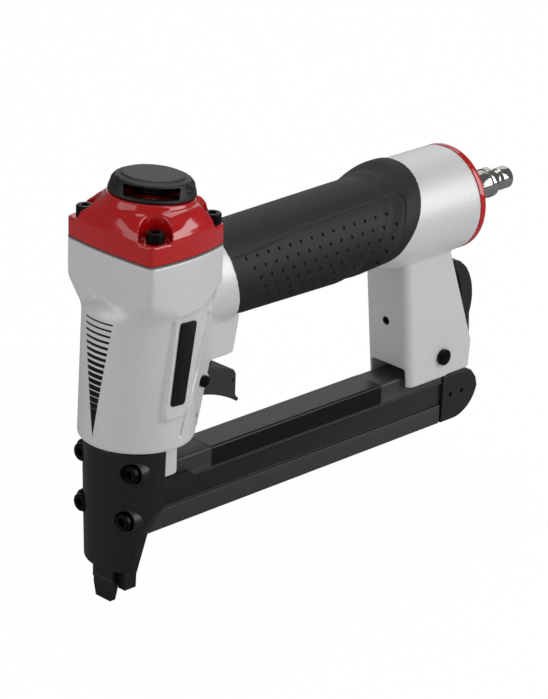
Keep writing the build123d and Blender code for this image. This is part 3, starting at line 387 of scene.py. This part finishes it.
def voxels(piece, size_mm):
    """Rebuilds a closed mesh on an even grid."""
    remesh = piece.modifiers.new("remesh", "REMESH")
    remesh.mode = "VOXEL"
    remesh.voxel_size = size_mm * mm
    bake(piece)


def thin_out(piece, most):
    """Drops points where the surface is even, down to a number of triangles."""
    triangles = sum(len(p.vertices) - 2 for p in piece.data.polygons)
    if triangles > most:
        thin = piece.modifiers.new("thin", "DECIMATE")
        thin.ratio = most / triangles
        bake(piece)


def subtract(piece, form):
    """Cuts a form out of a piece."""
    mesh = bpy.data.meshes.new("cutter")
    form.to_mesh(mesh)
    form.free()
    cutter = new_piece("cutter", mesh)
    cut = piece.modifiers.new("cut", "BOOLEAN")
    cut.operation = "DIFFERENCE"
    cut.solver = "EXACT"
    cut.object = cutter
    bake(piece)
    bpy.data.objects.remove(cutter)


print("modifiers: remesh, decimate, boolean")


# %% Moves of points
def relax(piece, steps, chosen=lambda co: True):
    """Evens out the chosen points of a mesh in small steps."""
    bm = bmesh.new()
    bm.from_mesh(piece.data)
    picked = [v for v in bm.verts if chosen(v.co)]
    for _ in range(steps):
        bmesh.ops.smooth_vert(bm, verts=picked, factor=0.5, use_axis_x=True, use_axis_y=True,
                              use_axis_z=True)
    bm.to_mesh(piece.data)
    bm.free()


def reshape(piece, shift):
    """Moves every point of a piece by what a function of its place gives."""
    bm = bmesh.new()
    bm.from_mesh(piece.data)
    for v in bm.verts:
        v.co += shift(v.co)
    bm.to_mesh(piece.data)
    bm.free()


def smooth(share):
    """A soft step from 0 to 1."""
    share = min(max(share, 0), 1)
    return share * share * (3 - 2 * share)


print("soft step at a quarter:", smooth(0.25))


# %% The last step of every piece
def dress(piece, node, sharp=None):
    """Gives a piece the finish, slot and body of a measured part, and lets it stand for that part."""
    piece.data.materials.clear()
    piece.data.materials.append(finish_of[node])
    piece.data.polygons.foreach_set("use_smooth", [True] * len(piece.data.polygons))
    if sharp:
        piece.data.set_sharp_from_angle(angle=radians(sharp))
    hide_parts(node)
    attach(piece, nodes[node]["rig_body"])
    print(piece.name, "stands for", node, "with", len(piece.data.polygons), "faces")
    return piece


# %% [markdown]
# ## Soft edges on castings and mouldings
# A casting or a moulding has no sharp edge: metal and plastic round off in the mould, and paint rounds them
# further. A copy is rebuilt on a fine voxel grid and relaxed, which rounds every edge by about the grid's
# size and leaves flat faces flat. Bevelling would do it too, but fails where many small edges meet.

# %% Rounded castings and mouldings
def rounded(node, name, voxel_mm, steps, most=60000):
    """A voxel copy of a measured part with rounded edges."""
    piece = merged_copy(node, name)
    voxels(piece, voxel_mm)
    relax(piece, steps)
    thin_out(piece, most)
    return dress(piece, node)


rounded("exhaust_deflector", "exhaust_hood", 0.25, 4)
rounded("trigger", "trigger_lever", 0.25, 3)
rounded("latch_lever", "latch_handle", 0.3, 4)
rounded("magazine_end_cap", "drawer_end", 0.25, 2)
rounded("front_plate", "nose_shell", 0.3, 3)
rounded("nose_tongue", "nose_tip", 0.25, 2)

# %% [markdown]
# ## The red cap
# The cap's roof falls from the foot of the hood to the walls, so each upright screw niche ends in an arch
# where it breaks through the slope. The measured cap is plainer, with a level roof and a rounded edge.
# Every point of the copy above the screw seats sinks by a share that grows with its distance from the
# hood's axis.

# %% Cap with a falling roof
cap_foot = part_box("cylinder_cap")[0].z
hood_low, hood_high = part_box("exhaust_deflector")
hood_axis = (hood_low + hood_high) / 2
fall_floor = cap_foot + 8.8 * mm         # points above this height sink
fall_start, fall_end = 18 * mm, 25.5 * mm  # distances from the hood's axis
fall_share = 0.46


def roof_fall(co):
    """The way down of a point on the cap's roof."""
    if co.z < fall_floor:
        return Vector()
    away = (co.xy - hood_axis.xy).length
    fall = fall_share * smooth((away - fall_start) / (fall_end - fall_start))
    return Vector((0, 0, -(co.z - fall_floor) * fall))


cap = merged_copy("cylinder_cap", "cap_casting")
voxels(cap, 0.35)
reshape(cap, roof_fall)
relax(cap, 9)
thin_out(cap, 100000)
dress(cap, "cylinder_cap")

# %% [markdown]
# ## Lines pressed into a surface
# Two fine lines are seen on the tool: the parting between the round body and its flange, and the border of
# the grip's pitted panel. The mesh is refined near the path, then its points sink along their normals by a
# bell curve of the distance to the path, so the line has a real depth.

# %% Press a line along a path
def carve(piece, paths, width_mm, depth_mm):
    """Presses lines into a piece along paths of points."""
    width = width_mm * mm
    rounds = 6                           # each one halves the long edges near the path
    marks = []
    for path in paths:
        for a, b in zip(path, path[1:]):
            count = max(2, int((b - a).length / (0.25 * width)))
            marks += [a.lerp(b, k / count) for k in range(count)]
    near = KDTree(len(marks))
    for k, mark in enumerate(marks):
        near.insert(mark, k)
    near.balance()
    bm = bmesh.new()
    bm.from_mesh(piece.data)
    for _ in range(rounds):
        edges = [e for e in bm.edges if e.calc_length() > width
                 and near.find((e.verts[0].co + e.verts[1].co) / 2)[2] < 1.5 * width + e.calc_length() / 2]
        bmesh.ops.subdivide_edges(bm, edges=edges, cuts=1)
        bmesh.ops.triangulate(bm, faces=[f for f in bm.faces if len(f.verts) > 3])
    bm.normal_update()
    moves = [(v, near.find(v.co)[2], v.normal.copy()) for v in bm.verts]
    for v, distance, normal in moves:
        if distance < 3 * width:
            v.co -= normal * depth_mm * mm * exp(-(distance / width) ** 2)
    bm.to_mesh(piece.data)
    bm.free()
    print(piece.name, "has", len(paths), "pressed lines,", width_mm, "mm wide")


print("depth at 0, 1 and 2 widths from the path:", [round(exp(-k * k), 2) for k in range(3)])

# %% [markdown]
# ## The cast body
# The head is square with rounded corners above and round below, and on the real casting the one flows into
# the other. The measured model has a crease there, so the band round the crease is relaxed much longer than
# the rest, on the outside only: the bore, the chamber, the flange and the flat badge pads stay as they are.

# %% Underside of the barrel, drawn up under the grip
barrel_axis = 122.2 * mm
lean = tan(radians(34.0))                # the barrel's front end leans to the rear going up
tuck_r, outside_r = 18.6 * mm, 23 * mm   # where it is drawn to, and a circle outside barrel and grip
tuck_start, tuck_end = 122 * mm, 148 * mm
tuck_in, tuck_out = 8 * mm, 12 * mm      # lengths over which it sets in and dies out
under_start, under_whole = 0.3, 0.8      # how much a point looks down: 0 at the sides, 1 at the bottom


def tuck(piece, strength):
    """Draws the underside of the barrel's front end up to the straight line of the grip's bottom."""
    def shift(co):
        out = Vector((0, co.y, co.z - barrel_axis))
        if co.x > tuck_end or not tuck_r < out.length < outside_r:
            return Vector()
        under = smooth((-out.z / out.length - under_start) / (under_whole - under_start))
        begun = smooth((co.x - out.z * lean - tuck_start) / tuck_in)
        ended = smooth((tuck_end - co.x) / tuck_out)
        return -out.normalized() * (out.length - tuck_r) * strength * under * begun * ended
    reshape(piece, shift)


print("underside drawn in towards", round(tuck_r / mm, 1), "mm from the barrel's axis")

# %% Body with a flowing shoulder
body = merged_copy("body_casting", "painted_body")
voxels(body, 0.5)
tuck(body, 0.9)
bore_low, bore_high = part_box("cylinder_sleeve")
bore = (bore_low + bore_high) / 2
wall_r = 18 * mm                         # inside this circle lie the bore and the chamber
flange_x = 33 * mm
pad_low, pad_high, pad_top = 79 * mm, 122 * mm, 124.5 * mm
pad_front, pad_rear = (6 * mm, 12 * mm), (21.2 * mm, 29.6 * mm)  # edges of a pad at its low and high end


def on_shoulder(low, high):
    """A test for points on the outside of the head between two heights, clear of pads and flange."""
    def test(co):
        if not low * mm < co.z < high * mm or co.x > flange_x:
            return False
        share = (co.z - pad_low) / (pad_high - pad_low)
        front, rear = (a + (b - a) * share for a, b in (pad_front, pad_rear))
        on_pad = front < co.x < rear and abs(co.y) > wall_r and co.z < pad_top
        return (co.xy - bore.xy).length > wall_r and not on_pad
    return test


relax(body, 4)
shoulder_bands = ((108, 130, 16), (111, 127, 20), (113, 125, 20))  # heights in millimetres, and steps
for low, high, steps in shoulder_bands:
    relax(body, steps, on_shoulder(low, high))
thin_out(body, 150000)
print("body relaxed:", len(body.data.polygons), "faces")

# %% Holes in the column and the flange
spring_low, spring_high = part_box("latch_spring")
column_hole = Vector((152 * mm, 0, (spring_low.z + spring_high.z) / 2))
flange_hole = Vector((36.4 * mm, 0, 69 * mm))
column_r, flange_r = 1.8 * mm, 1.45 * mm
column_depth, flange_depth = 16 * mm, 60 * mm
holes = bmesh.new()
for spot, turned_about, radius, length in ((column_hole, "Y", column_r, column_depth),
                                           (flange_hole, "X", flange_r, flange_depth)):
    bmesh.ops.create_cone(holes, cap_ends=True, segments=32, radius1=radius, radius2=radius, depth=length,
                          matrix=Matrix.Translation(spot) @ Matrix.Rotation(pi / 2, 4, turned_about))
subtract(body, holes)
print("holes cut:", len(body.data.polygons), "faces")

# %% Parting line between the round body and the flange
parting = [(37.2, -18.8, 123.3), (32.6, -20.0, 115.5), (30.9, -19.1, 103.6), (29.1, -18.1, 91.4),
           (24.1, -18.9, 79.3), (19.2, -19.8, 68.2)]  # millimetres, close to the surface on the near side
stops = 12                               # points between one of these and the next
surface = BVHTree.FromPolygons([v.co for v in body.data.vertices], [p.vertices for p in body.data.polygons])
near_path = []
for a, b in zip(parting, parting[1:]):
    for k in range(stops):
        sight = (Vector(a).lerp(Vector(b), k / stops) * mm - eye).normalized()
        near_path.append(surface.ray_cast(eye, sight)[0])
far_path = [Vector((p.x, -p.y, p.z)) for p in near_path]
carve(body, [near_path, far_path], 0.45, 0.9)

# %% Finish of the body, with painted shade on the bare metal in its holes
dress(body, "body_casting")
body.data.materials.append(bare_metal_and_hole_shade)
slack = 0.02 * mm
bare = 0
# Faces inside the two holes take the near-black finish, which is painted shade of the holes' depth.
for face in body.data.polygons:
    from_column, from_flange = face.center - column_hole, face.center - flange_hole
    near_column = abs(from_column.x) < column_depth / 2 + 5 * slack
    in_column = near_column and from_column.yz.length < column_r + slack
    if in_column or from_flange.xz.length < flange_r + slack:
        face.material_index = 1
        bare += 1
print("bare faces:", bare)

# %% [markdown]
# ## The rubber grip
# The sleeve is moulded rubber, pulled over the handle tube, with a flare that lies on the barrel like a
# lip. Its flare is a soft curve, so the outside of the copy is eased from the plain sleeve to the rim. Both
# sides carry a panel of small diamond pits in staggered rows with a fine border, made with real depth.

# %% Grip with an eased flare
plain_r, rim_r = 19.5 * mm, 22.6 * mm
lining_r = 17.9 * mm                     # inside this circle lies the bore of the sleeve
flare_start, flare_end = 124 * mm, 133.5 * mm
ease_start, ease_end = 125.5 * mm, 135 * mm


def flare_shift(co):
    """The way of a point from the measured, straight flare to a soft one."""
    along = co.x - (co.z - barrel_axis) * lean
    out = Vector((0, co.y, co.z - barrel_axis))
    if not ease_start < along < ease_end or out.length < lining_r:
        return Vector()
    straight = min(max((along - flare_start) / (flare_end - flare_start), 0), 1)
    eased = smooth((along - ease_start) / (ease_end - ease_start))
    return out * ((plain_r + (rim_r - plain_r) * eased) / (plain_r + (rim_r - plain_r) * straight) - 1)


grip = merged_copy("grip_sleeve", "rubber_grip")
voxels(grip, 0.35)
reshape(grip, flare_shift)
tuck(grip, 0.75)
relax(grip, 8)
thin_out(grip, 60000)
print("grip relaxed:", len(grip.data.polygons), "faces")

# %% Places on the grip's outside
handle_axis = 121.4 * mm
well_outside = 60 * mm
surface = BVHTree.FromPolygons([v.co for v in grip.data.vertices], [p.vertices for p in grip.data.polygons])


def on_grip(x_mm, degrees, side):
    """Point and normal on the outside of the grip; the angle rises from the level of the axis."""
    away = Vector((0, side * cos(radians(degrees)), sin(radians(degrees))))
    start = Vector((x_mm * mm, 0, handle_axis)) + away * well_outside
    return surface.ray_cast(start, -away)[:2]


print("level point at 90 mm:", [round(v, 4) for v in on_grip(90, 0, -1)[0]])

# %% Diamond pits on both sides
pit_pitch, pit_step = 5.8, 13.4          # millimetres along, degrees round
pit_rows, top_row = 6, 30                # number of rows, angle of the first
panel_start, panel_end, panel_slant = 55.5, 131.5, 0.14  # millimetres, and millimetres per degree
pit_mouth, pit_foot, pit_depth, pit_above = 1.15 * mm, 0.15 * mm, 1.3 * mm, 0.4 * mm
pits = bmesh.new()
for side in (-1, 1):
    for row_number in range(pit_rows):
        angle = top_row - pit_step * row_number
        x = panel_start + pit_pitch / 2 * row_number
        while x < panel_end + panel_slant * angle:
            spot, normal = on_grip(x, angle, side)
            lengthwise = Vector((1, 0, 0)) - normal * normal.x
            crosswise = normal.cross(lengthwise)
            turn = Matrix((lengthwise.normalized(), crosswise.normalized(), normal)).transposed()
            centre = Matrix.Translation(spot - normal * (pit_depth / 2 - pit_above))
            diamond = Matrix.Diagonal((0.9, 1.15, 1, 1))
            bmesh.ops.create_cone(pits, cap_ends=True, segments=4, radius1=pit_foot, radius2=pit_mouth,
                                  depth=pit_depth, matrix=centre @ turn.to_4x4() @ diamond)
            x += pit_pitch
bmesh.ops.recalc_face_normals(pits, faces=pits.faces)
print("faces of all the pits:", len(pits.faces))
subtract(grip, pits)

# %% Border of the pitted panel
# Each point is a place along the grip in millimetres and an angle round it in degrees.
border = [(50.5, 35), (57, 35.5), (66, 37.5), (76, 41.5), (87, 45), (110, 46.8), (125, 48.5), (135, 48.5),
          (139.5, 47), (141, 42), (139.7, 32), (137.3, 19), (135.6, 6.6), (133.9, -10.4), (130.7, -21),
          (127, -30)]
carve(grip, [[on_grip(x, angle, side)[0] for x, angle in border] for side in (-1, 1)], 0.4, 0.3)
dress(grip, "grip_sleeve", 35)

# %% [markdown]
# ## Bevels on sheet metal, screws and the air plug
# Folded sheet, screws and turned parts have crisp edges with a small radius that catches the light. A copy
# is cleaned of the triangulation's flat edges, then a bevel modifier rounds only the edges above an angle,
# with normals that keep the flat faces flat. The drawer's cover is of the rail's grey sheet; its walls
# above the shoulder, which run in the rail, take the blackened steel finish as painted shade of that groove.

# %% Bevelled pieces
def bevelled(node, name, width_mm, sharp=32, crisp=False):
    """A copy of a measured part with small rounded edges."""
    piece = merged_copy(node, name)
    bm = bmesh.new()
    bm.from_mesh(piece.data)
    bmesh.ops.dissolve_limit(bm, angle_limit=radians(1), verts=bm.verts, edges=bm.edges)
    bm.to_mesh(piece.data)
    bm.free()
    piece.data.polygons.foreach_set("use_smooth", [True] * len(piece.data.polygons))
    bevel = piece.modifiers.new("bevel", "BEVEL")
    bevel.width = width_mm * mm
    bevel.segments = 2
    bevel.limit_method = "ANGLE"
    bevel.angle_limit = radians(sharp)
    bevel.harden_normals = not crisp
    bake(piece)
    return dress(piece, node, 20 if crisp else None)


bevelled("nose_block", "driver_guide", 0.2, crisp=True)
bevelled("magazine_rail", "rail_sheet", 0.25)
cover = bevelled("magazine_cover", "cover_sheet", 0.3)
bevelled("cap_screws", "cap_screw_set", 0.2)
bevelled("front_plate_screws", "plate_screw_set", 0.2)
bevelled("air_plug", "plated_air_plug", 0.25)
bevelled("inlet_cap", "inlet_cap_enamel", 0.3)
bevelled("badge_plates", "bare_badges", 0.15)
bevelled("trigger_pin", "trigger_pivot", 0.25)
bevelled("latch_pin", "latch_pivot", 0.35)

# %% Painted shade on the cover's walls above its shoulder
cover_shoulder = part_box("magazine_cover")[0].z + 8.6 * mm
# The walls above the shoulder get the blackened steel finish as painted shade of the groove in which they
# run.
cover.data.materials.append(black_steel)
groove_shade_faces = [face for face in cover.data.polygons if face.center.z > cover_shoulder]
for face in groove_shade_faces:
    face.material_index = 1
print("blackened faces:", len(groove_shade_faces))

# %% [markdown]
# ## Wound springs
# Three springs work inside the tool: behind the staples, under the valve stem and behind the latch. Each is
# wound as on a lathe: a round section is spun about the axis and carried along it at every step.

# %% Wind the springs
def wound(node, name, axis, wire_mm, turns, fixed_high):
    """A helical spring in the measured spring's box."""
    low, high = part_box(node)
    wire = wire_mm * mm
    cross = "XYZ".index(axis)
    radius = (high - low)[(cross + 1) % 3] / 2 - wire
    length = (high - low)[cross] - 2 * wire
    steps = 24 * turns
    bm = bmesh.new()
    section = Matrix.Translation((radius, 0, 0)) @ Matrix.Rotation(pi / 2, 4, "X")
    ring = bmesh.ops.create_circle(bm, segments=10, radius=wire, matrix=section)["verts"]
    bmesh.ops.spin(bm, geom=ring + bm.edges[:], cent=(0, 0, 0), axis=(0, 0, 1),
                   dvec=(0, 0, length / steps), angle=2 * pi * turns, steps=steps)
    bmesh.ops.holes_fill(bm, edges=[e for e in bm.edges if e.is_boundary], sides=0)
    bmesh.ops.recalc_face_normals(bm, faces=bm.faces)
    lay = Matrix.Rotation(pi / 2, 4, "Y") if axis == "X" else Matrix.Identity(4)
    middle = (low + high) / 2
    middle[cross] = low[cross] + wire
    bmesh.ops.transform(bm, matrix=Matrix.Translation(middle) @ lay, verts=bm.verts)
    mesh = bpy.data.meshes.new(name)
    bm.to_mesh(mesh)
    bm.free()
    spring = dress(new_piece(name, mesh), node)
    anchor = (low + high) / 2
    anchor[cross] = high[cross] if fixed_high else low[cross]
    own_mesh(spring)


wound("pusher_spring", "staple_spring", "X", 0.35, 22, True)
wound("valve_spring", "stem_spring", "Z", 0.3, 4, True)
wound("latch_spring", "latch_return_spring", "X", 0.45, 9, False)

# %% [markdown]
# ## Floor and light
# A plain pale floor and a white surround, as in a photo booth. One large soft lamp stands to the right of
# the camera, so the sides that face it are brighter than the front, and a weaker one fills from the left. A
# lamp above and one behind give level faces their sheen, and a small one draws the bright marks on the
# enamel. What the camera sees behind the tool is plain white; glossy surfaces see a darker room with the
# lamps in it.

# %% Floor
floor_z = -0.2 * mm                      # just clear of the tip
floor_mesh = bpy.data.meshes.new("floor")
bm = bmesh.new()
bmesh.ops.create_grid(bm, x_segments=1, y_segments=1, size=3.0, matrix=Matrix.Translation((0, 0, floor_z)))
bm.to_mesh(floor_mesh)
bm.free()
floor = new_piece("floor", floor_mesh)
floor_white, tree, shader, _ = new_finish("matt_white_floor", "#f4f4f4", 0.0, 0.9)
rays = add_node(tree, "ShaderNodeLightPath").outputs
plain = add_node(tree, "ShaderNodeEmission", {"Color": linear("#ffffff"), "Strength": 1.0})
plain_share = 0.985                      # the rest of what the camera sees is the lit floor with its shadow
seen = add_node(tree, "ShaderNodeMath", {0: rays["Is Camera Ray"], 1: plain_share}, operation="MULTIPLY")
dim = add_node(tree, "ShaderNodeBsdfDiffuse", {"Color": linear("#7c7c7c")})
mirrored = add_node(tree, "ShaderNodeMixShader", {0: rays["Is Glossy Ray"], 1: shader.outputs[0],
                                                  2: dim.outputs[0]})
mixed = add_node(tree, "ShaderNodeMixShader", {0: seen.outputs[0], 1: mirrored.outputs[0],
                                               2: plain.outputs[0]})
tree.links.new(mixed.outputs[0], tree.nodes["Material Output"].inputs["Surface"])
floor_mesh.materials.append(floor_white)
print("floor ready")

# %% Surround
world = bpy.data.worlds.new("booth")
bpy.context.scene.world = world
world.use_nodes = True
tree = world.node_tree
soft = tree.nodes["Background"]
soft.inputs["Color"].default_value = linear("#ffffff")
soft.inputs["Strength"].default_value = 0.5
rays = add_node(tree, "ShaderNodeLightPath").outputs
white = add_node(tree, "ShaderNodeBackground", {"Color": linear("#ffffff"), "Strength": 1.0})
room = add_node(tree, "ShaderNodeBackground", {"Color": linear("#ffffff"), "Strength": 0.12})
reflected = add_node(tree, "ShaderNodeMixShader", {0: rays["Is Glossy Ray"], 1: soft.outputs[0],
                                                   2: room.outputs[0]})
behind = add_node(tree, "ShaderNodeMixShader", {0: rays["Is Camera Ray"], 1: reflected.outputs[0],
                                                2: white.outputs[0]})
tree.links.new(behind.outputs[0], tree.nodes["World Output"].inputs["Surface"])
print("surround ready")


# %% Lamps
def lamp(name, direction, distance, size, watts):
    """A square soft lamp that looks at the middle of the tool."""
    data = bpy.data.lights.new(name, "AREA")
    data.size = size
    data.energy = watts
    lamp_object = bpy.data.objects.new(name, data)
    bpy.context.scene.collection.objects.link(lamp_object)
    middle = (Vector(cad_box[0]) + Vector(cad_box[1])) / 2
    toward = Vector(direction).normalized()
    turn = toward.to_track_quat("Z", "Y").to_matrix().to_4x4()
    lamp_object.matrix_world = Matrix.Translation(middle + toward * distance) @ turn
    print(name, "lamp:", watts, "W at", distance, "m")


lamp("key", (0.45, -0.85, 0.45), 1.2, 0.9, 7.9)
lamp("fill", (-1.0, 0.25, 0.35), 1.3, 1.0, 3.4)
lamp("top", (0.3, 0.3, 1.0), 1.1, 0.7, 2.4)
lamp("back", (0.66, 0.65, 0.38), 1.3, 1.0, 2.0)
lamp("spark", (0.1, -0.5, 1.0), 1.1, 0.16, 0.6)
